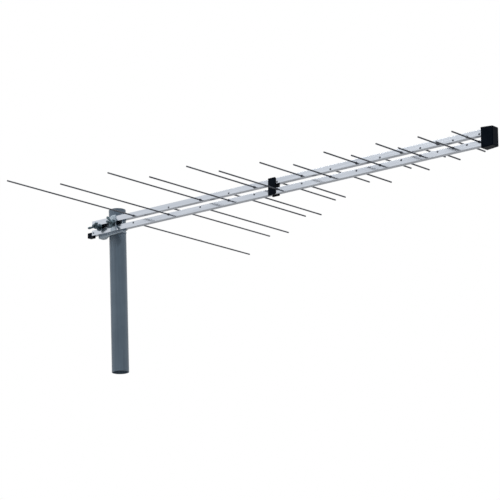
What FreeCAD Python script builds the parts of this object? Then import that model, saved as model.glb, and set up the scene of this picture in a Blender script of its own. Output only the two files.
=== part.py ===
import FreeCAD, Part

import math
import os

import Sketcher

# Log periodic television antenna for two bands, clamped by its rear end to a mast tube.
# Row frame: the origin is the centre of the mast tube's lower end and +Z runs up the tube.
# +X runs along the booms towards the short dipoles and the feed box, +Y is the mast's side.
# The booms droop a little towards their front, turned about Y where the mast's axis meets them.

doc = FreeCAD.newDocument("LogPeriodicAntenna")

# Driving dimensions, in millimetres, degrees or plain ratios

driving = [
    ("mast_diameter", 42), ("mast_wall", 2), ("mast_below", 363), ("mast_above", 46), ("droop_angle", 2.76),
    ("boom_side", 13), ("boom_wall", 1), ("boom_gap", 10.4), ("boom_rear", 50.1), ("boom_end_inset", 6),
    ("first_station", 91.7), ("low_gap", 117), ("low_gap_ratio", 0.8785), ("band_change_gap", 73.5),
    ("high_gap", 84.2), ("high_gap_ratio", 0.888),
    ("low_half", 420), ("low_half_ratio", 0.8665), ("high_half", 151.5), ("high_half_ratio", 0.892),
    ("rod_diameter", 3.5), ("rod_inset", 3.5), ("rod_hole_clearance", 0.05),
    ("rod_proud", 0.8),
    ("spacer_length", 21.8), ("spacer_plate", 2), ("spacer_lip", 2.5), ("spacer_rod_space", 4.2),
    ("spacer_fit", 0.05), ("spacer_round", 1.2),
    ("box_length", 30), ("box_behind", 8), ("box_width_rear", 24), ("box_height_rear", 47),
    ("box_width_front", 22), ("box_height_front", 43), ("box_wall", 2), ("box_drop", 1.5), ("box_round", 2),
    ("block_length", 10), ("block_fit", 0.1), ("block_hole_fit", 0.05),
    ("feed_screw_diameter", 3), ("feed_screw_length", 7), ("feed_head_diameter", 5.6), ("feed_head_height", 1.8),
    ("feed_screw_inset", 6), ("screw_hole_clearance", 0.1),
    ("plug_head_length", 15.5), ("plug_head_height", 13), ("plug_drop", 4.1), ("plug_stub_length", 10),
    ("plug_fit", 0.1), ("plug_round", 1), ("plug_screw_inset", 5), ("plug_screw_diameter", 2.4),
    ("plug_screw_length", 6), ("plug_screw_head", 4), ("plug_screw_cap", 0.8),
    ("web_gap", 2.6), ("saddle_sheet", 2), ("saddle_width", 82), ("saddle_height", 46), ("saddle_depth", 18),
    ("saddle_bend", 3), ("saddle_corner", 5), ("notch_half_angle", 60), ("notch_clearance", 0.2),
    ("tooth_pitch", 4), ("tooth_depth", 1.6), ("tooth_count", 7), ("tooth_start", 3),
    ("leg_diameter", 6), ("leg_hole_clearance", 0.3), ("bend_clearance", 0.2),
    ("leg_reach", 24), ("leg_chamfer", 0.8),
    ("insulator_length", 13), ("strap_width", 17), ("strap_height", 40), ("strap_sheet", 2), ("strap_round", 3),
    ("washer_diameter", 18), ("washer_sheet", 1.6), ("nut_flats", 10), ("nut_height", 5),
    ("thread_clearance", 0.1), ("wing_gap", 5), ("hub_base", 13), ("hub_top", 11), ("hub_height", 8),
    ("wing_span", 33), ("wing_height", 16), ("wing_sheet", 2.6), ("wing_tip_radius", 4.5),
    ("wing_root_height", 3), ("rear_wing_turn", 16), ("front_wing_turn", 110),
]

sizes = doc.addObject("Spreadsheet::Sheet", "Sizes")
for row, (name, value) in enumerate(driving, start=1):
    sizes.set(f"A{row}", name)
    sizes.set(f"B{row}", str(value))
    sizes.setAlias(f"B{row}", name)
doc.recompute()

low_band_count = 6
high_band_count = 10

# Places that several pieces share, written with the driving dimensions

mast_radius = "Sizes.mast_diameter / 2"
half_boom = "Sizes.boom_side / 2"
mid_height = "Sizes.mast_below"
boom_y = f"-({mast_radius} + Sizes.web_gap + Sizes.saddle_sheet + {half_boom})"
near_face_y = f"({boom_y} - {half_boom})"
far_face_y = f"({boom_y} + {half_boom})"
boom_z = f"(Sizes.boom_gap / 2 + {half_boom})"
rod_z = "(Sizes.boom_gap / 2 + Sizes.rod_inset)"
leg_x = f"({mast_radius} + Sizes.bend_clearance + Sizes.leg_diameter / 2)"
droop = "(Sizes.droop_angle * 1deg)"
leg_hole_radius = "Sizes.leg_diameter / 2 + Sizes.leg_hole_clearance"


def station(index):
    """Distance of a dipole from the mast's axis: two rows of gaps that shrink by their own ratios."""
    low_run = min(index, low_band_count - 1)
    steps = ["Sizes.first_station"]
    for step in range(low_run):
        steps.append(f"Sizes.low_gap * Sizes.low_gap_ratio ^ {step}")
    if index >= low_band_count:
        steps.append("Sizes.band_change_gap")
    for step in range(index - low_band_count):
        steps.append(f"Sizes.high_gap * Sizes.high_gap_ratio ^ {step}")
    return "(" + " + ".join(steps) + ")"


def half_length(index):
    """Reach of a dipole half from the middle of the booms to its tip."""
    if index < low_band_count:
        return f"Sizes.low_half * Sizes.low_half_ratio ^ {index}"
    return f"Sizes.high_half * Sizes.high_half_ratio ^ {index - low_band_count}"


dipole_count = low_band_count + high_band_count
box_rear_x = f"({station(dipole_count - 1)} + Sizes.box_behind)"
boom_front_x = f"({box_rear_x} + Sizes.box_length - Sizes.box_wall - Sizes.boom_end_inset)"

sub_parts = []


def get(name):
    return float(sizes.get(name))


def new_body(label, x="0", y="0", z="0"):
    """A body whose own origin is set at a place in the row frame."""
    body = doc.addObject("PartDesign::Body", "".join(word.title() for word in label.split("_")))
    body.Label = label
    for axis, place in (("x", x), ("y", y), ("z", z)):
        body.setExpression(f".Placement.Base.{axis}", place)
    sub_parts.append(body)
    return body


def new_boom_body(label, x="0", z="0", y=boom_y):
    """A body that droops with the booms. Its x runs along them and its z is above their middle."""
    level = f"(({x}) * cos{droop} + ({z}) * sin{droop})"
    height = f"({mid_height} - ({x}) * sin{droop} + ({z}) * cos{droop})"
    body = new_body(label, level, y, height)
    body.Placement.Rotation = FreeCAD.Rotation(FreeCAD.Vector(0, 1, 0), get("droop_angle"))
    body.setExpression(".Placement.Rotation.Angle", droop)
    return body


def new_sketch(body, name, role, offset=None):
    """A sketch on one of the body's own origin planes, lifted along its normal by an offset."""
    sketch = body.newObject("Sketcher::SketchObject", name)
    plane = [feature for feature in body.Origin.OriginFeatures if feature.Role == role][0]
    sketch.AttachmentSupport = (plane, [""])
    sketch.MapMode = "FlatFace"
    if offset is not None:
        sketch.setExpression(".AttachmentOffset.Base.z", offset)
    return sketch


def tie(sketch, geometry, point, x, y):
    """Hold a point of the sketch at x and y, each an expression, or on the axis where it is 0."""
    for kind, axis, place in (("DistanceX", -2, x), ("DistanceY", -1, y)):
        if place == "0":
            sketch.addConstraint(Sketcher.Constraint("PointOnObject", geometry, point, axis))
        else:
            number = sketch.addConstraint(Sketcher.Constraint(kind, -1, 1, geometry, point, 1.0))
            sketch.setExpression(f"Constraints[{number}]", place)


def draw_polygon(sketch, corners):
    """A closed outline of straight lines through corners, each an (x, y) pair of expressions."""
    count = len(corners)
    first = sketch.GeometryCount
    turn = 2 * math.pi / count
    guess = [FreeCAD.Vector(math.cos(turn * i), math.sin(turn * i), 0) for i in range(count)]
    for i in range(count):
        sketch.addGeometry(Part.LineSegment(guess[i], guess[(i + 1) % count]), False)
    for i in range(count):
        sketch.addConstraint(Sketcher.Constraint("Coincident", first + i, 2, first + (i + 1) % count, 1))
    for i, (x, y) in enumerate(corners):
        tie(sketch, first + i, 1, x, y)


def draw_rectangle(sketch, left, bottom, right, top):
    draw_polygon(sketch, [(left, bottom), (right, bottom), (right, top), (left, top)])


def draw_circle(sketch, x, y, radius):
    number = sketch.addGeometry(Part.Circle(FreeCAD.Vector(1, 1, 0), FreeCAD.Vector(0, 0, 1), 1), False)
    tie(sketch, number, 3, x, y)
    constraint = sketch.addConstraint(Sketcher.Constraint("Radius", number, 1.0))
    sketch.setExpression(f"Constraints[{constraint}]", radius)


def pad(body, name, sketch, length, both_ways=False):
    feature = body.newObject("PartDesign::Pad", name)
    feature.Profile = sketch
    feature.SideType = "Symmetric" if both_ways else "One side"
    feature.setExpression("Length", length)
    return feature


def cut_through(body, name, sketch):
    """A pocket that runs through everything on both sides of its sketch."""
    feature = body.newObject("PartDesign::Pocket", name)
    feature.Profile = sketch
    feature.SideType = "Symmetric"
    feature.Type = "ThroughAll"
    return feature


def cut_depth(body, name, sketch, depth, reverse=False):
    feature = body.newObject("PartDesign::Pocket", name)
    feature.Profile = sketch
    feature.setExpression("Length", depth)
    feature.Reversed = reverse
    return feature


def round_edges(body, name, base, radius, wanted):
    """Fillet the edges of a feature whose direction and middle pass the test named wanted."""
    doc.recompute()
    chosen = []
    for number, edge in enumerate(base.Shape.Edges, start=1):
        start, end = edge.Vertexes[0].Point, edge.Vertexes[-1].Point
        along = end - start
        if along.Length < 0.01:
            continue
        if wanted(along / along.Length, (start + end) / 2):
            chosen.append(f"Edge{number}")
    feature = body.newObject("PartDesign::Fillet", name)
    feature.Base = (base, chosen)
    feature.setExpression("Radius", radius)
    return feature


# Mast tube

def build_mast():
    body = new_body("mast_tube")
    sketch = new_sketch(body, "MastSection", "XY_Plane")
    draw_circle(sketch, "0", "0", mast_radius)
    draw_circle(sketch, "0", "0", f"{mast_radius} - Sizes.mast_wall")
    pad(body, "MastLength", sketch, "Sizes.mast_below + Sizes.mast_above")


# Booms: two square tubes, each with a hole through both walls for every dipole

def build_boom(label, side):
    """One boom. Side is 1 for the upper one and -1 for the lower one."""
    body = new_boom_body(label, "0", f"{side} * {boom_z}")
    section = new_sketch(body, f"{label}_section", "YZ_Plane", "-Sizes.boom_rear")
    bore = f"({half_boom} - Sizes.boom_wall)"
    draw_rectangle(section, f"-{half_boom}", f"-{half_boom}", half_boom, half_boom)
    draw_rectangle(section, f"-{bore}", f"-{bore}", bore, bore)
    pad(body, f"{label}_tube", section, f"Sizes.boom_rear + {boom_front_x}")
    holes = new_sketch(body, f"{label}_hole_row", "XZ_Plane")
    for index in range(dipole_count):
        draw_circle(holes, station(index), f"{side} * ({rod_z} - {boom_z})",
                    "Sizes.rod_diameter / 2 + Sizes.rod_hole_clearance")
    cut_through(body, f"{label}_holes", holes)
    screw = new_sketch(body, f"{label}_screw_place", "XZ_Plane")
    draw_circle(screw, f"{boom_front_x} - Sizes.feed_screw_inset", "0",
                "Sizes.feed_screw_diameter / 2 + Sizes.screw_hole_clearance")
    if side < 0:
        draw_circle(screw, "Sizes.plug_screw_inset - Sizes.boom_rear", "0",
                    "Sizes.plug_screw_diameter / 2 + Sizes.screw_hole_clearance")
    cut_depth(body, f"{label}_screw_holes", screw, "Sizes.boom_side", reverse=True)


# Dipole rods: each half is a drawn rod set through both walls of one boom, its end left proud

def build_rod(index, near):
    """A dipole half. The near halves cross from one boom to the other along the row."""
    on_upper = (index % 2 == 0) == near
    side = 1 if on_upper else -1
    out = -1 if near else 1
    label = f"dipole_{index + 1:02d}_{'near' if near else 'far'}"
    inner_end = f"({half_boom} + Sizes.rod_proud)"
    body = new_boom_body(label, station(index), f"{side} * {rod_z}", f"{boom_y} - {out} * {inner_end}")
    sketch = new_sketch(body, f"{label}_section", "XZ_Plane")
    draw_circle(sketch, "0", "0", "Sizes.rod_diameter / 2")
    rod = pad(body, f"{label}_length", sketch, f"{half_length(index)} + {inner_end}")
    rod.Reversed = not near


# Mid spacer: a moulded H whose web fills the gap and whose plates hold both booms

def build_spacer():
    half = "Sizes.spacer_length / 2"
    middle = f"{station(low_band_count - 1)} - Sizes.spacer_rod_space - {half}"
    body = new_boom_body("mid_spacer", middle)
    inner = f"({half_boom} + Sizes.spacer_fit)"
    outer = f"({inner} + Sizes.spacer_plate)"
    web = "(Sizes.boom_gap / 2)"
    top = "(Sizes.boom_gap / 2 + Sizes.boom_side + Sizes.spacer_lip)"
    section = new_sketch(body, "SpacerSection", "YZ_Plane")
    draw_polygon(section, [
        (f"-{outer}", f"-{top}"), (f"-{inner}", f"-{top}"), (f"-{inner}", f"-{web}"),
        (inner, f"-{web}"), (inner, f"-{top}"), (outer, f"-{top}"),
        (outer, top), (inner, top), (inner, web),
        (f"-{inner}", web), (f"-{inner}", top), (f"-{outer}", top),
    ])
    plates = pad(body, "SpacerLength", section, "Sizes.spacer_length", both_ways=True)
    reach = get("boom_gap") / 2 + get("boom_side")
    round_edges(body, "SpacerCorners", plates, "Sizes.spacer_round",
                lambda along, middle: abs(along.y) > 0.9 and abs(middle.z) > reach)


# Feed box: a tapered cap over the front ends of the booms, closed behind by an insulating block

def taper(rear, front, depth):
    """A size of the box at a depth from its rear rim, between its rear and front values."""
    return f"({rear} + ({front} - {rear}) * ({depth}) / Sizes.box_length)"


def box_width(depth, inside):
    return f"({taper('Sizes.box_width_rear', 'Sizes.box_width_front', depth)} / 2 - ({inside}))"


def box_height(depth, inside):
    return f"({taper('Sizes.box_height_rear', 'Sizes.box_height_front', depth)} / 2 - ({inside}))"


def new_box_body(label):
    """A body with its origin in the middle of the box's rear rim."""
    return new_boom_body(label, box_rear_x, "-Sizes.box_drop")


def tapered_block(body, kind, name, depth, inside):
    """A wedge that follows the box's taper forward to a depth, a given way inside its outer faces."""
    wedge = body.newObject(f"PartDesign::{kind}", name)
    wedge.Placement = FreeCAD.Placement(FreeCAD.Vector(0, 0, 0), FreeCAD.Rotation(FreeCAD.Vector(0, 0, 1), -90))
    sides = {
        "Xmin": f"-{box_width('0', inside)}", "Xmax": box_width("0", inside),
        "Zmin": f"-{box_height('0', inside)}", "Zmax": box_height("0", inside),
        "X2min": f"-{box_width(depth, inside)}", "X2max": box_width(depth, inside),
        "Z2min": f"-{box_height(depth, inside)}", "Z2max": box_height(depth, inside),
        "Ymax": depth,
    }
    wedge.Ymin = 0
    for side, length in sides.items():
        wedge.setExpression(side, length)
    return wedge


def build_feed_box():
    body = new_box_body("feed_box")
    shell = tapered_block(body, "AdditiveWedge", "BoxBody", "Sizes.box_length", "0")
    round_edges(body, "BoxCorners", shell, "Sizes.box_round",
                lambda along, middle: abs(along.x) > 0.9 or middle.x > 1)
    doc.recompute()
    tapered_block(body, "SubtractiveWedge", "BoxCavity", "Sizes.box_length - Sizes.box_wall", "Sizes.box_wall")


def build_feed_block():
    body = new_box_body("feed_block")
    tapered_block(body, "AdditiveWedge", "BlockBody", "Sizes.block_length", "Sizes.box_wall + Sizes.block_fit")
    holes = new_sketch(body, "BlockHoles", "YZ_Plane")
    hole = f"({half_boom} + Sizes.block_hole_fit)"
    for side in (1, -1):
        centre = f"(Sizes.box_drop + {side} * {boom_z})"
        draw_rectangle(holes, f"-{hole}", f"{centre} - {hole}", hole, f"{centre} + {hole}")
    cut_through(body, "BlockPassages", holes)


# Screws: each is turned, with a cheese head on the boom's near face and a plain shank

def build_screw(label, x, z, shank, length, head, cap):
    body = new_boom_body(label, x, z, near_face_y)
    sketch = new_sketch(body, f"{label}_outline", "XY_Plane")
    draw_polygon(sketch, [
        ("0", length), (f"{shank} / 2", length), (f"{shank} / 2", "0"),
        (f"{head} / 2", "0"), (f"{head} / 2", f"-{cap}"), ("0", f"-{cap}"),
    ])
    turned = body.newObject("PartDesign::Revolution", f"{label}_turned")
    turned.Profile = sketch
    turned.ReferenceAxis = (sketch, ["V_Axis"])
    turned.Angle = 360


def build_feed_screws():
    for label, side in (("feed_screw_upper", 1), ("feed_screw_lower", -1)):
        build_screw(label, f"{boom_front_x} - Sizes.feed_screw_inset", f"{side} * {boom_z}",
                    "Sizes.feed_screw_diameter", "Sizes.feed_screw_length",
                    "Sizes.feed_head_diameter", "Sizes.feed_head_height")


# Rear plug: a stub in the lower boom's rear end, with a square head that hangs below it

def build_rear_plug():
    body = new_boom_body("rear_plug", "-Sizes.boom_rear", f"-{boom_z}")
    stub = f"({half_boom} - Sizes.boom_wall - Sizes.plug_fit)"
    inner = new_sketch(body, "PlugStubSection", "YZ_Plane")
    draw_rectangle(inner, f"-{stub}", f"-{stub}", stub, stub)
    pad(body, "PlugStub", inner, "Sizes.plug_stub_length")
    outer = new_sketch(body, "PlugHeadSection", "YZ_Plane", "-Sizes.plug_head_length")
    draw_rectangle(outer, f"-{half_boom}", "-(Sizes.plug_drop + Sizes.plug_head_height / 2)",
                   half_boom, "(Sizes.plug_head_height / 2 - Sizes.plug_drop)")
    head = pad(body, "PlugHead", outer, "Sizes.plug_head_length")
    round_edges(body, "PlugRounds", head, "Sizes.plug_round",
                        lambda along, middle: middle.x < -get("plug_head_length") + 0.01
                        or (abs(along.x) > 0.9 and middle.x < 0))
    doc.recompute()
    pilot = new_sketch(body, "PlugPilot", "XZ_Plane")
    draw_circle(pilot, "Sizes.plug_screw_inset", "0",
                "Sizes.plug_screw_diameter / 2 + Sizes.screw_hole_clearance")
    cut_through(body, "PlugScrewHole", pilot)


def build_plug_screw():
    build_screw("plug_screw", "Sizes.plug_screw_inset - Sizes.boom_rear", f"-{boom_z}",
                "Sizes.plug_screw_diameter", "Sizes.plug_screw_length",
                "Sizes.plug_screw_head", "Sizes.plug_screw_cap")


# Saddle: folded channel between booms and mast, whose flanges have toothed notches for the tube

def build_saddle():
    body = new_body("clamp_saddle", "0", "0", mid_height)
    outer = "(Sizes.saddle_height / 2)"
    inner = f"({outer} - Sizes.saddle_sheet)"
    back = far_face_y
    web = f"({back} + Sizes.saddle_sheet)"
    free = f"({back} + Sizes.saddle_depth)"
    section = new_sketch(body, "SaddleSection", "YZ_Plane")
    draw_polygon(section, [
        (back, f"-{outer}"), (free, f"-{outer}"), (free, f"-{inner}"), (web, f"-{inner}"),
        (web, inner), (free, inner), (free, outer), (back, outer),
    ])
    channel = pad(body, "SaddleChannel", section, "Sizes.saddle_width", both_ways=True)
    back_limit = -(get("mast_diameter") / 2 + get("web_gap") + get("saddle_sheet"))
    folded = round_edges(body, "SaddleFolds", channel, "Sizes.saddle_bend",
                         lambda along, middle: abs(along.x) > 0.9 and middle.y < back_limit + 0.01)
    free_limit = back_limit + get("saddle_depth")
    round_edges(body, "SaddleCorners", folded, "Sizes.saddle_corner",
                          lambda along, middle: abs(along.z) > 0.9 and middle.y > free_limit - 0.01)
    doc.recompute()
    holes = new_sketch(body, "LegHoles", "XZ_Plane")
    draw_circle(holes, leg_x, "0", leg_hole_radius)
    draw_circle(holes, f"-{leg_x}", "0", leg_hole_radius)
    cut_through(body, "WebHoles", holes)
    apex = f"(({mast_radius} + Sizes.notch_clearance) / sin(Sizes.notch_half_angle * 1deg))"
    slope = "tan(Sizes.notch_half_angle * 1deg)"
    notch = new_sketch(body, "NotchOutline", "XY_Plane")
    wide = f"({apex} + {free} + 1) * {slope}"
    narrow = f"({apex} + {web}) * {slope}"
    draw_polygon(notch, [(f"-{narrow}", web), (narrow, web), (wide, f"{free} + 1"), (f"-{wide}", f"{free} + 1")])
    cut_through(body, "Notch", notch)
    along_x = "sin(Sizes.notch_half_angle * 1deg)"
    along_y = "cos(Sizes.notch_half_angle * 1deg)"
    for side, sign in (("Front", ""), ("Rear", "-")):
        gullet = new_sketch(body, f"{side}GulletOutline", "XY_Plane")
        corners_of_gullet = []
        for run, out in ((0, 0), (0.5, 1), (1, 0)):
            run_text = f"(Sizes.tooth_start + {run} * Sizes.tooth_pitch)"
            out_text = f"({out} * Sizes.tooth_depth)"
            x = f"{sign}({narrow} + {run_text} * {along_x} + {out_text} * {along_y})"
            y = f"({web} + {run_text} * {along_y} - {out_text} * {along_x})"
            corners_of_gullet.append((x, y))
        draw_polygon(gullet, corners_of_gullet)
        first = cut_through(body, f"{side}Gullet", gullet)
        direction = new_sketch(body, f"{side}NotchSide", "XY_Plane")
        direction.addGeometry(Part.LineSegment(FreeCAD.Vector(0, 0, 0), FreeCAD.Vector(1, 1, 0)), False)
        direction.addConstraint(Sketcher.Constraint("Coincident", 0, 1, -1, 1))
        tie(direction, 0, 2, f"{sign}10 * {along_x}", f"10 * {along_y}")
        doc.recompute()
        row = body.newObject("PartDesign::LinearPattern", f"{side}GulletRow")
        row.Originals = [first]
        row.Direction = (direction, ["Edge1"])
        row.Mode = "Spacing"
        row.setExpression("Offset", "Sizes.tooth_pitch")
        row.setExpression("Occurrences", "Sizes.tooth_count")
        body.Tip = row
        doc.recompute()


# Mast bolt: a round rod bent round the mast, with two legs that run between the booms

def build_mast_bolt():
    body = new_body("mast_bolt", "0", "0", mid_height)
    section = new_sketch(body, "BoltSection", "XZ_Plane")
    draw_circle(section, leg_x, "0", "Sizes.leg_diameter / 2")
    bend = body.newObject("PartDesign::Revolution", "BoltBend")
    bend.Profile = section
    bend.ReferenceAxis = (section, ["V_Axis"])
    bend.Angle = 180
    legs = new_sketch(body, "LegSections", "XZ_Plane")
    draw_circle(legs, leg_x, "0", "Sizes.leg_diameter / 2")
    draw_circle(legs, f"-{leg_x}", "0", "Sizes.leg_diameter / 2")
    rods = pad(body, "BoltLegs", legs, f"Sizes.leg_reach - {near_face_y}")
    doc.recompute()
    ends = [f"Edge{number}" for number, edge in enumerate(rods.Shape.Edges, start=1)
            if edge.BoundBox.YMax < rods.Shape.BoundBox.YMin + 0.01]
    chamfer = body.newObject("PartDesign::Chamfer", "BoltTips")
    chamfer.Base = (rods, ends)
    chamfer.setExpression("Size", "Sizes.leg_chamfer")


# What sits on the legs: insulators in the gap, and the strap, washers and nuts on the near side
# The front wing nut presses on its washer, and the rear one waits above the nut it locks

def build_insulator(label, leg):
    """A block in the gap between the booms with a hole for one leg. Leg is 1 or -1 along X."""
    body = new_boom_body(label, f"{leg} * {leg_x} * cos{droop}")
    sketch = new_sketch(body, f"{label}_face", "XZ_Plane")
    half = "(Sizes.insulator_length / 2)"
    tall = "(Sizes.boom_gap / 2)"
    draw_rectangle(sketch, f"-{half}", f"-{tall}", half, tall)
    draw_circle(sketch, "0", f"{leg} * {leg_x} * sin{droop}", leg_hole_radius)
    pad(body, f"{label}_depth", sketch, "Sizes.boom_side", both_ways=True)


def build_strap():
    body = new_body("clamp_strap", leg_x, near_face_y, mid_height)
    sketch = new_sketch(body, "StrapFace", "XZ_Plane")
    half = "(Sizes.strap_width / 2)"
    tall = "(Sizes.strap_height / 2)"
    draw_rectangle(sketch, f"-{half}", f"-{tall}", half, tall)
    draw_circle(sketch, "0", "0", leg_hole_radius)
    plate = pad(body, "StrapSheet", sketch, "Sizes.strap_sheet")
    round_edges(body, "StrapCorners", plate, "Sizes.strap_round",
                lambda along, middle: abs(along.y) > 0.9)


def stack_place(leg, *below):
    """Where a piece on a leg starts: the near face, then the strap on the front leg, then what is below."""
    parts = [near_face_y]
    if leg > 0:
        parts.append("Sizes.strap_sheet")
    parts.extend(below)
    return " - ".join(parts)


def build_washer(label, leg):
    body = new_body(label, f"{leg} * {leg_x}", stack_place(leg), mid_height)
    sketch = new_sketch(body, f"{label}_ring", "XZ_Plane")
    draw_circle(sketch, "0", "0", "Sizes.washer_diameter / 2")
    draw_circle(sketch, "0", "0", leg_hole_radius)
    pad(body, f"{label}_sheet", sketch, "Sizes.washer_sheet")


def build_hex_nut(label, leg):
    body = new_body(label, f"{leg} * {leg_x}", stack_place(leg, "Sizes.washer_sheet"), mid_height)
    sketch = new_sketch(body, f"{label}_hexagon", "XZ_Plane")
    corner = "(Sizes.nut_flats / 2 / cos(30deg))"
    flat = "(Sizes.nut_flats / 2)"
    draw_polygon(sketch, [
        (corner, "0"), (f"{corner} / 2", flat), (f"-{corner} / 2", flat),
        (f"-{corner}", "0"), (f"-{corner} / 2", f"-{flat}"), (f"{corner} / 2", f"-{flat}"),
    ])
    draw_circle(sketch, "0", "0", "Sizes.leg_diameter / 2 + Sizes.thread_clearance")
    pad(body, f"{label}_height", sketch, "Sizes.nut_height")


def build_wing_nut(label, leg, turn):
    """A turned hub with two rounded ears that rise past it, drawn with the nut's axis along X."""
    below = ["Sizes.washer_sheet"] if leg > 0 else ["Sizes.washer_sheet", "Sizes.nut_height", "Sizes.wing_gap"]
    place = stack_place(leg, *below)
    body = new_body(label, f"{leg} * {leg_x}", place, mid_height)
    body.Placement.Rotation = (FreeCAD.Rotation(FreeCAD.Vector(0, 1, 0), -get(turn))
                               * FreeCAD.Rotation(FreeCAD.Vector(0, 0, 1), -90))
    bore = "(Sizes.leg_diameter / 2 + Sizes.thread_clearance)"
    hub = new_sketch(body, f"{label}_hub_outline", "XY_Plane")
    draw_polygon(hub, [("0", bore), ("0", "Sizes.hub_base / 2"),
                       ("Sizes.hub_height", "Sizes.hub_top / 2"), ("Sizes.hub_height", bore)])
    turned = body.newObject("PartDesign::Revolution", f"{label}_hub")
    turned.Profile = hub
    turned.ReferenceAxis = (hub, ["H_Axis"])
    turned.Angle = 360
    ears = new_sketch(body, f"{label}_ear_outline", "XY_Plane")
    inner = "(Sizes.hub_top / 2 - 1)"
    tip_y = "(Sizes.wing_span / 2 - Sizes.wing_tip_radius)"
    tip_x = "(Sizes.wing_height - Sizes.wing_tip_radius)"
    for side in (1, -1):
        draw_polygon(ears, [
            ("1", f"{side} * {inner}"), ("Sizes.wing_root_height", f"{side} * (Sizes.hub_base / 2 + 1)"),
            (f"{tip_x} - 3", f"{side} * ({tip_y} + Sizes.wing_tip_radius - 0.6)"),
            (tip_x, f"{side} * ({tip_y} + Sizes.wing_tip_radius)"),
            (f"{tip_x} + 3", f"{side} * ({tip_y} + Sizes.wing_tip_radius - 1.2)"),
            (f"{tip_x} + Sizes.wing_tip_radius", f"{side} * {tip_y}"),
            (f"{tip_x} + 2.6", f"{side} * ({tip_y} - Sizes.wing_tip_radius + 1)"),
            ("Sizes.hub_height - 0.5", f"{side} * {inner}"),
        ])
    pad(body, f"{label}_ears", ears, "Sizes.wing_sheet", both_ways=True)


build_mast()
build_boom("upper_boom", 1)
build_boom("lower_boom", -1)
for number in range(dipole_count):
    build_rod(number, near=True)
    build_rod(number, near=False)
build_spacer()
build_feed_box()
build_feed_block()
build_feed_screws()
build_rear_plug()
build_plug_screw()
build_saddle()
build_mast_bolt()
build_strap()
for leg_name, leg_side, turn_name in (("rear", -1, "rear_wing_turn"), ("front", 1, "front_wing_turn")):
    build_insulator(f"{leg_name}_insulator", leg_side)
    build_washer(f"{leg_name}_washer", leg_side)
    build_wing_nut(f"{leg_name}_wing_nut", leg_side, turn_name)
build_hex_nut("rear_nut", -1)

doc.recompute()

# Check every object and every sub-part before anything is written

for item in doc.Objects:
    if "Invalid" in item.State or "Error" in item.State:
        raise RuntimeError(f"{item.Label} failed to build: {item.State}")
for part in sub_parts:
    if part.Shape.isNull() or not part.Shape.isValid() or len(part.Shape.Solids) != 1:
        raise RuntimeError(f"{part.Label} has no sound solid")

os.makedirs("parts", exist_ok=True)
for part in sub_parts:
    part.Shape.exportStep(f"parts/{part.Label}.step")
    print(part.Label, round(part.Shape.Volume, 1))
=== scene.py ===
import bmesh
import bpy
from mathutils import Matrix, Vector


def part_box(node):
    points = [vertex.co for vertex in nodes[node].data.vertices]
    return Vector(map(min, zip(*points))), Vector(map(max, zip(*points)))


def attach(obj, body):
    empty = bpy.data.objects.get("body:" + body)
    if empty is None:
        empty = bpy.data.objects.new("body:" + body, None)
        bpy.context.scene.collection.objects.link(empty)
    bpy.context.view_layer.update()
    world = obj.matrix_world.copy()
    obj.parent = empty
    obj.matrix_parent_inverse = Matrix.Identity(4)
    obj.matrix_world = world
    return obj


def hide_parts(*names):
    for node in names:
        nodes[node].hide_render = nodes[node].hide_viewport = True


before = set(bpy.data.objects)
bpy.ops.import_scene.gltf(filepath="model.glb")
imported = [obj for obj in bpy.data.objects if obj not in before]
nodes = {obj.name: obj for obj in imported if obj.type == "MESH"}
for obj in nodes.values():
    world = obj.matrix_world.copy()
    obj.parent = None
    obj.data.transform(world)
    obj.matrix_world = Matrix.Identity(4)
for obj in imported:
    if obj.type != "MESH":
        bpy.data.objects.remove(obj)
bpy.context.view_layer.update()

# Log periodic antenna: two square booms, crossed dipole rods, a black feed box and a mast clamp.
# Metres, z up, origin at the lower end of the mast stub, +x towards the short dipoles.

print("frame loaded:", len(nodes), "pieces")


def linkObject(name, data):
    obj = bpy.data.objects.new(name, data)
    bpy.context.scene.collection.objects.link(obj)
    return obj


def addNode(tree, kind, **values):
    node = tree.nodes.new(kind)
    for key, value in values.items():
        setattr(node, key, value)
    return node


def setInput(node, name, value):
    node.inputs[name].default_value = value


def giveSocket(tree, value, socket):  # a number is typed in, another node's output is linked
    if isinstance(value, (int, float)):
        socket.default_value = value
    else:
        tree.links.new(value, socket)


def mathOf(tree, operation, first, second):
    node = addNode(tree, "ShaderNodeMath", operation=operation)
    giveSocket(tree, first, node.inputs[0])
    giveSocket(tree, second, node.inputs[1])
    return node.outputs[0]


nodeStep = {"across": 220, "down": 320}


def spreadNodes(tree):  # in columns by distance from the output, for whoever opens the tree
    column = {node.name: 0 for node in tree.nodes}
    for step in range(len(column)):  # enough for the longest chain
        for link in tree.links:
            behind = column[link.to_node.name] + 1
            column[link.from_node.name] = max(column[link.from_node.name], behind)
    filled = {}
    for node in tree.nodes:
        number = column[node.name]
        row = filled.get(number, 0)
        filled[number] = row + 1
        node.location = (-nodeStep["across"] * number, -nodeStep["down"] * row)


# Finishes: color is the plain shade, dark and light are the ends of its mottle,
# ramp says where on the pattern those ends lie, spread is how far the roughness goes down and up,
# relief and depth set the bump, and edge is the radius by which the shader rounds sharp edges.

noiseRange = {"low": 0.25, "high": 0.75}  # where nearly all of a noise texture's values lie
evenStretch = (1, 1, 1)
bevelSamples = 4


def startMaterial(name, look):
    material = bpy.data.materials.new(name)
    material.use_nodes = True
    material.diffuse_color = (*look["color"], 1)
    tree = material.node_tree
    shader = tree.nodes["Principled BSDF"]
    setInput(shader, "Base Color", (*look["color"], 1))
    setInput(shader, "Metallic", look["metallic"])
    setInput(shader, "Roughness", look["roughness"])
    if "specular" in look:
        setInput(shader, "Specular IOR Level", look["specular"])
    if "glossTint" in look:
        setInput(shader, "Specular Tint", (*look["glossTint"], 1))
    return material, tree, shader


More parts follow.
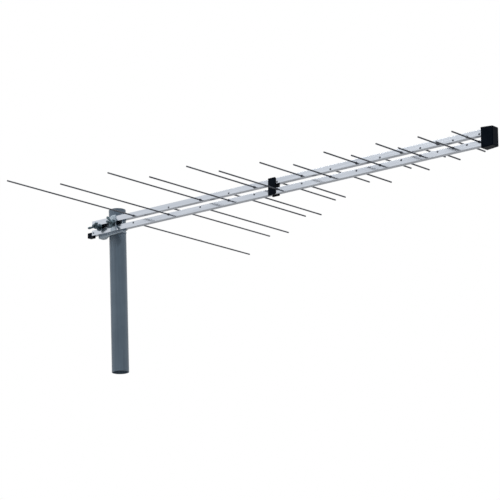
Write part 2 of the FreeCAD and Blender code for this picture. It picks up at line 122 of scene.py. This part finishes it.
def objectPattern(tree, stretch=evenStretch):
    coords = addNode(tree, "ShaderNodeTexCoord")
    mapping = addNode(tree, "ShaderNodeMapping")
    setInput(mapping, "Scale", stretch)
    tree.links.new(coords.outputs["Object"], mapping.inputs["Vector"])
    return mapping.outputs["Vector"]


def noiseFrom(tree, vector, scale, detail):
    noise = addNode(tree, "ShaderNodeTexNoise")
    setInput(noise, "Scale", scale)
    setInput(noise, "Detail", detail)
    tree.links.new(vector, noise.inputs["Vector"])
    return noise.outputs["Fac"]


def meanOf(tree, first, second):
    return mathOf(tree, "MULTIPLY", mathOf(tree, "ADD", first, second), 0.5)


def colorFrom(tree, shader, factor, look):
    ramp = addNode(tree, "ShaderNodeValToRGB")
    for end, position, shade in zip(ramp.color_ramp.elements, look["ramp"], ("dark", "light")):
        end.position = position
        end.color = (*look[shade], 1)
    tree.links.new(factor, ramp.inputs["Fac"])
    tree.links.new(ramp.outputs["Color"], shader.inputs["Base Color"])


def roughnessFrom(tree, shader, factor, look):
    down, up = look["spread"]
    node = addNode(tree, "ShaderNodeMapRange")
    setInput(node, "From Min", noiseRange["low"])
    setInput(node, "From Max", noiseRange["high"])
    setInput(node, "To Min", look["roughness"] - down)
    setInput(node, "To Max", look["roughness"] + up)
    tree.links.new(factor, node.inputs["Value"])
    tree.links.new(node.outputs["Result"], shader.inputs["Roughness"])


def bumpFrom(tree, shader, height, look):
    bump = addNode(tree, "ShaderNodeBump")
    setInput(bump, "Strength", look["relief"])
    setInput(bump, "Distance", look["depth"])
    tree.links.new(height, bump.inputs["Height"])
    if "edge" in look:
        bevel = addNode(tree, "ShaderNodeBevel", samples=bevelSamples)
        setInput(bevel, "Radius", look["edge"])
        tree.links.new(bevel.outputs["Normal"], bump.inputs["Normal"])
    tree.links.new(bump.outputs["Normal"], shader.inputs["Normal"])


def drawnTube(name, look):  # lines along the draw, under a slow cloud
    material, tree, shader = startMaterial(name, look)
    lines = noiseFrom(tree, objectPattern(tree, look["stretch"]), **look["lines"])
    cloud = noiseFrom(tree, objectPattern(tree), **look["cloud"])
    colorFrom(tree, shader, meanOf(tree, lines, cloud), look)
    roughnessFrom(tree, shader, lines, look)
    bumpFrom(tree, shader, lines, look)
    spreadNodes(tree)
    return material


boomLook = {
    "color": (0.547, 0.586, 0.648), "dark": (0.497, 0.536, 0.598), "light": (0.597, 0.636, 0.698),
    "ramp": (0.36, 0.64), "metallic": 1.0, "roughness": 0.14, "spread": (0.04, 0.04),
    "stretch": (0.02, 1, 1), "lines": {"scale": 420.0, "detail": 4.0},
    "cloud": {"scale": 9.0, "detail": 2.0}, "relief": 0.03, "depth": 0.0002, "edge": 0.0005,
}
# The rods' colour is set far darker than bare aluminium: painted shade, standing for the dark
# surroundings the rods reflect. Collars and peened heads share it.
rodLook = {
    "color": (0.085, 0.092, 0.105), "dark": (0.065, 0.07, 0.082), "light": (0.11, 0.118, 0.132),
    "ramp": (0.36, 0.64), "metallic": 1.0, "roughness": 0.34, "spread": (0.06, 0.06),
    "stretch": (1, 0.02, 1), "lines": {"scale": 600.0, "detail": 4.0},
    "cloud": {"scale": 14.0, "detail": 2.0}, "relief": 0.04, "depth": 0.0002,
}
mastLook = {  # coated, so it isn't metallic
    "color": (0.081, 0.116, 0.154), "dark": (0.069, 0.100, 0.135), "light": (0.095, 0.134, 0.175),
    "ramp": (0.36, 0.64), "metallic": 0.0, "roughness": 0.36, "spread": (0.06, 0.06),
    "specular": 0.35, "stretch": (1, 1, 0.03), "lines": {"scale": 160.0, "detail": 4.0},
    "cloud": {"scale": 16.0, "detail": 2.0}, "relief": 0.05, "depth": 0.0002, "edge": 0.0006,
}
boomAluminium = drawnTube("boomAluminium", boomLook)
rodAluminium = drawnTube("rodAluminium", rodLook)
mastSteel = drawnTube("mastSteel", mastLook)


def mouldedPlastic(name, look):
    material, tree, shader = startMaterial(name, look)
    vector = objectPattern(tree)
    mottle = noiseFrom(tree, vector, **look["mottle"])
    peel = noiseFrom(tree, vector, **look["peel"])
    colorFrom(tree, shader, mottle, look)
    roughnessFrom(tree, shader, mottle, look)
    bumpFrom(tree, shader, peel, look)
    spreadNodes(tree)
    return material


glossPlasticLook = {
    "color": (0.0022, 0.0034, 0.0072), "dark": (0.0015, 0.0024, 0.0052),
    "light": (0.0022, 0.0034, 0.0072), "ramp": (0.35, 0.65), "metallic": 0.0,
    "roughness": 0.26, "spread": (0.05, 0.06), "specular": 0.035, "glossTint": (0.45, 0.75, 1.0),
    "mottle": {"scale": 60.0, "detail": 3.0}, "peel": {"scale": 900.0, "detail": 2.0},
    "relief": 0.05, "depth": 0.00015, "edge": 0.0006,
}
dullPlasticLook = {
    "color": (0.004, 0.006, 0.010), "dark": (0.003, 0.0042, 0.007),
    "light": (0.004, 0.006, 0.010), "ramp": (0.35, 0.65), "metallic": 0.0,
    "roughness": 0.5, "spread": (0.05, 0.06), "specular": 0.06, "glossTint": (0.6, 0.8, 1.0),
    "mottle": {"scale": 120.0, "detail": 3.0}, "peel": {"scale": 1600.0, "detail": 2.0},
    "relief": 0.08, "depth": 0.00015, "edge": 0.0004,
}
blackGloss = mouldedPlastic("blackGloss", glossPlasticLook)
blackDull = mouldedPlastic("blackDull", dullPlasticLook)


def zincCoated(name, look):  # crystal cells under a fine haze
    material, tree, shader = startMaterial(name, look)
    vector = objectPattern(tree)
    cells = addNode(tree, "ShaderNodeTexVoronoi")
    setInput(cells, "Scale", look["spangle"])
    tree.links.new(vector, cells.inputs["Vector"])
    split = addNode(tree, "ShaderNodeSeparateColor")
    tree.links.new(cells.outputs["Color"], split.inputs["Color"])
    haze = noiseFrom(tree, vector, **look["haze"])
    colorFrom(tree, shader, meanOf(tree, split.outputs["Red"], haze), look)
    roughnessFrom(tree, shader, haze, look)
    bumpFrom(tree, shader, haze, look)
    spreadNodes(tree)
    return material


sheetLook = {
    "color": (0.30, 0.355, 0.405), "dark": (0.255, 0.31, 0.36), "light": (0.345, 0.40, 0.45),
    "ramp": (0.2, 0.8), "metallic": 0.9, "roughness": 0.36, "spread": (0.08, 0.1),
    "spangle": 260.0, "haze": {"scale": 90.0, "detail": 5.0},
    "relief": 0.05, "depth": 0.0002, "edge": 0.0004,
}
boltLook = {
    "color": (0.075, 0.105, 0.122), "dark": (0.062, 0.088, 0.104), "light": (0.090, 0.122, 0.142),
    "ramp": (0.2, 0.8), "metallic": 0.95, "roughness": 0.28, "spread": (0.08, 0.1),
    "spangle": 1400.0, "haze": {"scale": 220.0, "detail": 5.0},
    "relief": 0.05, "depth": 0.0002, "edge": 0.0002,
}
castLook = {
    "color": (0.078, 0.112, 0.130), "dark": (0.060, 0.090, 0.107), "light": (0.100, 0.138, 0.157),
    "ramp": (0.2, 0.8), "metallic": 0.9, "roughness": 0.4, "spread": (0.08, 0.1),
    "spangle": 1800.0, "haze": {"scale": 400.0, "detail": 5.0},
    "relief": 0.12, "depth": 0.0002, "edge": 0.0003,
}
galvanisedSheet = zincCoated("galvanisedSheet", sheetLook)
platedSteel = zincCoated("platedSteel", boltLook)
zincCasting = zincCoated("zincCasting", castLook)


def giveFinish(mesh, finish):
    mesh.materials.clear()
    mesh.materials.append(finish)


finishes = {  # what isn't named here is a dipole rod or a fastener
    "upper_boom": boomAluminium, "lower_boom": boomAluminium, "mast_tube": mastSteel,
    "feed_box": blackGloss, "mid_spacer": blackGloss, "rear_plug": blackGloss,
    "feed_block": blackDull, "front_insulator": blackDull, "rear_insulator": blackDull,
    "clamp_saddle": galvanisedSheet, "clamp_strap": galvanisedSheet,
    "front_wing_nut": zincCasting, "rear_wing_nut": zincCasting,
}
for name, obj in nodes.items():
    other = rodAluminium if name.startswith("dipole") else platedSteel
    giveFinish(obj.data, finishes.get(name, other))
print("materials set on", len(nodes), "carried pieces")


# What each dressed piece goes through

def plainMesh(holder, name):  # its modified shape as a mesh of its own, without the holder
    graph = bpy.context.evaluated_depsgraph_get()
    mesh = bpy.data.meshes.new_from_object(holder.evaluated_get(graph), depsgraph=graph)
    holder.modifiers.clear()
    bpy.data.objects.remove(holder)
    mesh.name = name
    return mesh


def setInFrame(name, mesh, replaced=()):
    piece = linkObject(name, mesh)
    if replaced:
        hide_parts(*replaced)
    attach(piece, "root")


def smoothByAngle(mesh, limit=0.6):  # radians
    shape = bmesh.new()
    shape.from_mesh(mesh)
    for face in shape.faces:
        face.smooth = True
    for edge in shape.edges:
        edge.smooth = len(edge.link_faces) == 2 and edge.calc_face_angle() < limit
    shape.to_mesh(mesh)
    shape.free()


# Geometry Nodes: each tree shapes one fitting along z and sets it on points with an "out" direction

def startTree(name, sizes):
    tree = bpy.data.node_groups.new(name, "GeometryNodeTree")
    tree.is_modifier = True
    addSocket = tree.interface.new_socket
    addSocket("Geometry", in_out="INPUT", socket_type="NodeSocketGeometry")
    for label, value in sizes.items():
        socket = addSocket(label, in_out="INPUT", socket_type="NodeSocketFloat")
        socket.default_value = value
    addSocket("Finish", in_out="INPUT", socket_type="NodeSocketMaterial")
    addSocket("Geometry", in_out="OUTPUT", socket_type="NodeSocketGeometry")
    return tree, addNode(tree, "NodeGroupInput").outputs


def endTree(tree, given, shape):
    direction = addNode(tree, "GeometryNodeInputNamedAttribute", data_type="FLOAT_VECTOR")
    setInput(direction, "Name", "out")
    align = addNode(tree, "FunctionNodeAlignRotationToVector", axis="Z")
    tree.links.new(direction.outputs["Attribute"], align.inputs["Vector"])
    place = addNode(tree, "GeometryNodeInstanceOnPoints")
    tree.links.new(given["Geometry"], place.inputs["Points"])
    tree.links.new(shape, place.inputs["Instance"])
    tree.links.new(align.outputs[0], place.inputs["Rotation"])
    realize = addNode(tree, "GeometryNodeRealizeInstances")
    tree.links.new(place.outputs[0], realize.inputs[0])
    finish = addNode(tree, "GeometryNodeSetMaterial")
    tree.links.new(realize.outputs[0], finish.inputs["Geometry"])
    tree.links.new(given["Finish"], finish.inputs["Material"])
    out = addNode(tree, "NodeGroupOutput")
    tree.links.new(finish.outputs[0], out.inputs[0])
    spreadNodes(tree)
    return tree


def transformed(tree, geometry, socketName, factors):
    change = addNode(tree, "GeometryNodeTransform")
    vector = addNode(tree, "ShaderNodeCombineXYZ")
    for axis, factor in zip("XYZ", factors):
        giveSocket(tree, factor, vector.inputs[axis])
    tree.links.new(geometry, change.inputs["Geometry"])
    tree.links.new(vector.outputs[0], change.inputs[socketName])
    return change.outputs[0]


def lifted(tree, geometry, height):
    return transformed(tree, geometry, "Translation", (0, 0, height))


def scaled(tree, geometry, *factors):
    return transformed(tree, geometry, "Scale", factors)


def joined(tree, *shapes):
    join = addNode(tree, "GeometryNodeJoinGeometry")
    for shape in shapes:
        tree.links.new(shape, join.inputs[0])
    return join.outputs[0]


def roundBar(tree, radius, length, sides, ends="NGON"):
    bar = addNode(tree, "GeometryNodeMeshCylinder", fill_type=ends)
    setInput(bar, "Vertices", sides)
    giveSocket(tree, radius, bar.inputs["Radius"])
    giveSocket(tree, length, bar.inputs["Depth"])
    return bar.outputs["Mesh"]


def ballOf(tree, radius, segments, rings):
    ball = addNode(tree, "GeometryNodeMeshUVSphere")
    setInput(ball, "Segments", segments)
    setInput(ball, "Rings", rings)
    giveSocket(tree, radius, ball.inputs["Radius"])
    return ball.outputs["Mesh"]


def turnedBar(name, sizes, sides, ends="NGON"):  # a round bar whose outer end is turned down
    tree, given = startTree(name, sizes)
    radius, chamfer = given["Radius"], given["Chamfer"]
    straight = mathOf(tree, "SUBTRACT", given["Length"], chamfer)
    bar = roundBar(tree, radius, straight, sides, ends)
    slope = addNode(tree, "GeometryNodeMeshCone")
    setInput(slope, "Vertices", sides)
    giveSocket(tree, mathOf(tree, "SUBTRACT", radius, chamfer), slope.inputs["Radius Top"])
    giveSocket(tree, radius, slope.inputs["Radius Bottom"])
    giveSocket(tree, chamfer, slope.inputs["Depth"])
    lowerPart = lifted(tree, bar, mathOf(tree, "MULTIPLY", straight, 0.5))
    upperPart = lifted(tree, slope.outputs["Mesh"], straight)
    return endTree(tree, given, joined(tree, lowerPart, upperPart))


def placeFittings(name, tree, points, finish, replaced=(), sizes=None):
    seed = bpy.data.meshes.new(name + "Points")
    seed.from_pydata([point for point, out in points], [], [])
    direction = seed.attributes.new("out", "FLOAT_VECTOR", "POINT")
    for number, (point, out) in enumerate(points):
        direction.data[number].vector = out
    holder = linkObject(name + "Holder", seed)
    modifier = holder.modifiers.new("fittings", "NODES")
    modifier.node_group = tree
    values = {"Finish": finish, **(sizes or {})}
    for item in tree.interface.items_tree:
        if item.in_out == "INPUT" and item.name in values:
            modifier[item.identifier] = values[item.name]
    mesh = plainMesh(holder, name)
    smoothByAngle(mesh)
    setInFrame(name, mesh, replaced)


def middle(name):
    low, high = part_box(name)
    return [(a + b) / 2 for a, b in zip(low, high)]


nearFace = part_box("upper_boom")[0][1]
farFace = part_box("upper_boom")[1][1]
toNear, toFar = (0, -1, 0), (0, 1, 0)

# Dipole rods with a turned-down end, each as long as its solid, and the swaged collar at the boom
rodSize = {"Radius": 0.00175, "Length": 0.1, "Chamfer": 0.0005}
# The collar is drawn wider than the swaged collar alone so that it also stands for the shade at the
# rod's root: partly the real collar, partly painted shade.
collarSize = {"Radius": 0.0030, "Length": 0.0021, "Chamfer": 0.0006}
rodSides = 24
rodTree = turnedBar("dipoleRod", rodSize, rodSides, ends="NONE")
collarTree = turnedBar("rodCollar", collarSize, rodSides)

# Peened head where the rod comes out on the other side of the same boom
headSize = {"Radius": 0.0026, "Flatness": 0.42}
headMesh = {"segments": 20, "rings": 10}
headTree, given = startTree("peenedHead", headSize)
headBall = ballOf(headTree, given["Radius"], **headMesh)
endTree(headTree, given, scaled(headTree, headBall, 1, 1, given["Flatness"]))

collarPoints, headPoints = [], []
for name in sorted(nodes):
    if name.startswith("dipole"):
        station, side = name.split("_")[1:]
        x, y, z = middle(name)
        low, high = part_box(name)
        if side == "near":
            root, leaves, peened, out, back = high[1], nearFace, farFace, toNear, toFar
        else:
            root, leaves, peened, out, back = low[1], farFace, nearFace, toFar, toNear
        placeFittings("rod" + station + side.title(), rodTree, [((x, root, z), out)],
                      rodAluminium, (name,), {"Length": high[1] - low[1]})
        collarPoints.append(((x, leaves, z), out))
        headPoints.append(((x, peened, z), back))
placeFittings("rodCollars", collarTree, collarPoints, rodAluminium)
placeFittings("peenedHeads", headTree, headPoints, rodAluminium)
print("collars and heads set on", len(collarPoints), "rods")

# Cheese-head screws with a cross recess
feedScrewSize = {"Head Radius": 0.0028, "Head Height": 0.0018, "Shank Radius": 0.0015,
                 "Shank Length": 0.007, "Recess Width": 0.0009}
plugScrewSize = {"Head Radius": 0.0020, "Head Height": 0.0008, "Shank Radius": 0.0012,
                 "Shank Length": 0.006, "Recess Width": 0.0007}
screwSides = {"head": 32, "shank": 24}


def screwTree(name, sizes):
    tree, given = startTree(name, sizes)
    headHeight, shankLength = given["Head Height"], given["Shank Length"]
    head = roundBar(tree, given["Head Radius"], headHeight, screwSides["head"])
    shank = roundBar(tree, given["Shank Radius"], shankLength, screwSides["shank"])
    cut = addNode(tree, "GeometryNodeMeshBoolean", operation="DIFFERENCE")
    raised = lifted(tree, head, mathOf(tree, "MULTIPLY", headHeight, 0.5))
    tree.links.new(raised, cut.inputs["Mesh 1"])
    for across, along in ("XY", "YX"):
        bar = addNode(tree, "GeometryNodeMeshCube")
        size = addNode(tree, "ShaderNodeCombineXYZ")
        tree.links.new(given["Recess Width"], size.inputs[across])
        tree.links.new(given["Head Radius"], size.inputs[along])
        tree.links.new(headHeight, size.inputs["Z"])
        tree.links.new(size.outputs[0], bar.inputs["Size"])
        tree.links.new(lifted(tree, bar.outputs["Mesh"], headHeight), cut.inputs["Mesh 2"])
    sunk = lifted(tree, shank, mathOf(tree, "MULTIPLY", shankLength, -0.5))
    return endTree(tree, given, joined(tree, cut.outputs["Mesh"], sunk))


def atNearFace(name):
    x, y, z = middle(name)
    return (x, nearFace, z), toNear


feedScrewNodes = ("feed_screw_upper", "feed_screw_lower")
placeFittings("feedScrews", screwTree("feedScrew", feedScrewSize),
              [atNearFace(name) for name in feedScrewNodes],
              platedSteel, feedScrewNodes)
placeFittings("plugScrew", screwTree("plugScrewShape", plugScrewSize),
              [atNearFace("plug_screw")], platedSteel, ("plug_screw",))

# Rolled thread on the ends of the bolt's legs
threadSize = {"Radius": 0.00285, "Pitch": 0.001, "Length": 0.0225, "Ridge": 0.00042}
threadMesh = {"steps": 24, "corners": 4}
threadStart = 0.0008  # past the chamfer at the leg's tip
threadTree, given = startTree("rolledThread", threadSize)
helix = addNode(threadTree, "GeometryNodeCurveSpiral")
setInput(helix, "Resolution", threadMesh["steps"])
turns = mathOf(threadTree, "DIVIDE", given["Length"], given["Pitch"])
giveSocket(threadTree, turns, helix.inputs["Rotations"])
giveSocket(threadTree, given["Radius"], helix.inputs["Start Radius"])
giveSocket(threadTree, given["Radius"], helix.inputs["End Radius"])
giveSocket(threadTree, given["Length"], helix.inputs["Height"])
ridge = addNode(threadTree, "GeometryNodeCurvePrimitiveCircle")
setInput(ridge, "Resolution", threadMesh["corners"])
giveSocket(threadTree, given["Ridge"], ridge.inputs["Radius"])
sweep = addNode(threadTree, "GeometryNodeCurveToMesh")
threadTree.links.new(helix.outputs["Curve"], sweep.inputs["Curve"])
threadTree.links.new(ridge.outputs["Curve"], sweep.inputs["Profile Curve"])
endTree(threadTree, given, sweep.outputs["Mesh"])
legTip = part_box("mast_bolt")[0][1]
threadPoints = []
for name in ("rear_washer", "front_washer"):
    x, y, z = middle(name)
    threadPoints.append(((x, legTip + threadStart, z), toFar))
placeFittings("legThreads", threadTree, threadPoints, platedSteel)

# Hexagon nut: a prism whose corners a flattened ball turns off
nutSize = {"Corner Radius": 0.00577, "Height": 0.005, "Bore": 0.0031, "Round": 0.0062,
           "Crown": 0.00423}
crownMesh = {"segments": 48, "rings": 24}
drillSize = {"length": 0.02, "sides": 32}
nutTree, given = startTree("hexNut", nutSize)
prism = roundBar(nutTree, given["Corner Radius"], given["Height"], sides=6)
unitBall = ballOf(nutTree, 1.0, **crownMesh)
crown = scaled(nutTree, unitBall, given["Round"], given["Round"], given["Crown"])
drill = roundBar(nutTree, given["Bore"], **drillSize)
turnedNut = addNode(nutTree, "GeometryNodeMeshBoolean", operation="INTERSECT")
nutTree.links.new(prism, turnedNut.inputs["Mesh 2"])
nutTree.links.new(crown, turnedNut.inputs["Mesh 2"])
bored = addNode(nutTree, "GeometryNodeMeshBoolean", operation="DIFFERENCE")
nutTree.links.new(turnedNut.outputs["Mesh"], bored.inputs["Mesh 1"])
nutTree.links.new(drill, bored.inputs["Mesh 2"])
endTree(nutTree, given, bored.outputs["Mesh"])
placeFittings("rearLockNut", nutTree, [(middle("rear_nut"), toNear)],
              platedSteel, ("rear_nut",))
print("screws, threads and nut made")


# Copies of the solids themselves, dressed with modifiers

weldReach = 0.000005  # far below the length of any edge


def weldedCopy(name):  # as a bmesh with its loose triangles merged into one skin
    shape = bmesh.new()
    shape.from_mesh(nodes[name].data)
    bmesh.ops.remove_doubles(shape, verts=shape.verts, dist=weldReach)
    return shape


def holderFrom(shape, name, pieceName):
    mesh = nodes[name].data.copy()
    shape.to_mesh(mesh)
    shape.free()
    return linkObject(pieceName + "Holder", mesh)


# Edges as they leave the extruder, the mould or the press
easing = {
    "upper_boom": ("upperBoomTube", 0.00035, boomAluminium, "boom_tube"),
    "lower_boom": ("lowerBoomTube", 0.00035, boomAluminium, "boom_tube"),
    "mast_tube": ("mastStub", 0.0004, mastSteel, "mast_tube"),
    "clamp_strap": ("clampStrapPlate", 0.0003, galvanisedSheet, "galvanised_sheet"),
    "clamp_saddle": ("clampSaddleChannel", 0.00025, galvanisedSheet, "galvanised_sheet"),
    "mid_spacer": ("midSpacerMoulding", 0.0003, blackGloss, "black_moulding"),
    "feed_block": ("feedBlockMoulding", 0.0003, blackDull, "insulating_block"),
    "rear_insulator": ("rearInsulatorBlock", 0.0004, blackDull, "insulating_block"),
    "front_insulator": ("frontInsulatorBlock", 0.0004, blackDull, "insulating_block"),
    "rear_washer": ("rearWasherDisc", 0.0003, platedSteel, "plated_fastener"),
    "front_washer": ("frontWasherDisc", 0.0003, platedSteel, "plated_fastener"),
}
easeSteps = {"flat": 0.01, "sharp": 0.7, "segments": 3}  # the two angles in radians
for name, (pieceName, width, finish, slotName) in easing.items():
    shape = weldedCopy(name)
    bmesh.ops.dissolve_limit(shape, angle_limit=easeSteps["flat"],
                             verts=shape.verts, edges=shape.edges)
    for face in shape.faces:
        face.smooth = True
    holder = holderFrom(shape, name, pieceName)
    ease = holder.modifiers.new("ease", "BEVEL")
    ease.width = width
    ease.segments = easeSteps["segments"]
    ease.limit_method = "ANGLE"
    ease.angle_limit = easeSteps["sharp"]
    ease.use_clamp_overlap = True
    weight = holder.modifiers.new("weight", "WEIGHTED_NORMAL")
    weight.keep_sharp = True
    easedMesh = plainMesh(holder, pieceName)
    giveFinish(easedMesh, finish)
    setInFrame(pieceName, easedMesh, (name,))
print("edges eased on", len(easing), "pieces")

# Cast wing nuts, with every edge melted round
casting = {"rear_wing_nut": "rearWingNutCast", "front_wing_nut": "frontWingNutCast"}
castSize = {"voxel": 0.00035, "passes": 5, "factor": 0.5}
for name, pieceName in casting.items():
    holder = holderFrom(weldedCopy(name), name, pieceName)
    melt = holder.modifiers.new("melt", "REMESH")
    melt.mode = "VOXEL"
    melt.voxel_size = castSize["voxel"]
    soften = holder.modifiers.new("soften", "SMOOTH")
    soften.factor = castSize["factor"]
    soften.iterations = castSize["passes"]
    castMesh = plainMesh(holder, pieceName)
    giveFinish(castMesh, zincCasting)
    for polygon in castMesh.polygons:
        polygon.use_smooth = True
    setInFrame(pieceName, castMesh, (name,))
    print(pieceName, len(castMesh.polygons), "faces")


# The photograph's camera: past the feed box's end, on the near side, looking up from below
view = {
    "place": (3.6912, -3.7813, -1.1986), "back": (0.62865, -0.72839, -0.27249),
    "up": (0.20590, -0.18199, 0.96150), "lens": 160.86, "sensor": 36.0,
    "clipStart": 0.05, "clipEnd": 100.0,
}
cameraData = bpy.data.cameras.new("photoCamera")
cameraData.lens = view["lens"]
cameraData.sensor_width = view["sensor"]
cameraData.clip_start = view["clipStart"]
cameraData.clip_end = view["clipEnd"]
camera = linkObject("photoCamera", cameraData)
backward = Vector(view["back"]).normalized()
rightward = Vector(view["up"]).cross(backward).normalized()
upward = backward.cross(rightward)
turn = Matrix((rightward, upward, backward)).transposed()
camera.matrix_world = Matrix.Translation(view["place"]) @ turn.to_4x4()
bpy.context.scene.camera = camera


def whereSeen(tree, plain, shown):  # plain for what it lights, shown where it is looked at
    path = addNode(tree, "ShaderNodeLightPath").outputs
    mirrored = mathOf(tree, "MAXIMUM", path["Is Camera Ray"], path["Is Glossy Ray"])
    seen = mathOf(tree, "MAXIMUM", mirrored, path["Is Transmission Ray"])
    strength = addNode(tree, "ShaderNodeMapRange")
    setInput(strength, "To Min", plain)
    setInput(strength, "To Max", shown)
    tree.links.new(seen, strength.inputs["Value"])
    return strength.outputs["Result"]


stage = {
    "floorHeight": -1.5, "floorSize": 14.0, "floorMiddle": 0.5, "floorLift": 0.08,
    "worldLight": 0.33, "worldShown": 1.0, "white": (1, 1, 1, 1),
}
floorLook = {
    "color": (0.82, 0.82, 0.82), "dark": (0.81, 0.81, 0.81), "light": (0.83, 0.83, 0.83),
    "ramp": (0.3, 0.7), "metallic": 0.0, "roughness": 0.9, "grain": {"scale": 3.0, "detail": 3.0},
}
floorMesh = bpy.data.meshes.new("floor")
shape = bmesh.new()
bmesh.ops.create_grid(shape, x_segments=1, y_segments=1, size=stage["floorSize"])
bmesh.ops.translate(shape, verts=shape.verts, vec=(stage["floorMiddle"], 0, stage["floorHeight"]))
shape.to_mesh(floorMesh)
shape.free()
floor = linkObject("floor", floorMesh)
floorMaterial, floorTree, floorShader = startMaterial("floorPaper", floorLook)
grain = noiseFrom(floorTree, objectPattern(floorTree), **floorLook["grain"])
colorFrom(floorTree, floorShader, grain, floorLook)
setInput(floorShader, "Emission Color", stage["white"])
floorTree.links.new(whereSeen(floorTree, 0.0, stage["floorLift"]),
                    floorShader.inputs["Emission Strength"])
spreadNodes(floorTree)
floor.data.materials.append(floorMaterial)

world = bpy.data.worlds.new("studio")
bpy.context.scene.world = world
world.use_nodes = True
worldTree = world.node_tree
background = worldTree.nodes["Background"]
setInput(background, "Color", stage["white"])
worldTree.links.new(whereSeen(worldTree, stage["worldLight"], stage["worldShown"]),
                    background.inputs["Strength"])
spreadNodes(worldTree)

# The lamps stand clear of what the booms' near faces mirror to the camera
lamps = {
    "topLight": {"place": (0.7, -0.3, 3.9), "aim": (0.5, 0, 0.3), "size": 6.0, "power": 22},
    "frontLight": {"place": (-1.0, -2.3, 2.9), "aim": (0.2, 0, 0.3), "size": 2.2, "power": 85},
    "sideLight": {"place": (2.6, 0.45, 2.9), "aim": (0.3, 0, 0.3), "size": 1.8, "power": 60},
}
for name, lamp in lamps.items():
    data = bpy.data.lights.new(name, "AREA")
    data.shape = "DISK"
    data.size = lamp["size"]
    data.energy = lamp["power"]
    light = linkObject(name, data)
    place = Vector(lamp["place"])
    aim = (place - Vector(lamp["aim"])).to_track_quat("Z", "Y")
    light.matrix_world = Matrix.Translation(place) @ aim.to_matrix().to_4x4()
bpy.context.scene.view_settings.view_transform = "Standard"
print("camera, stage and lamps placed")
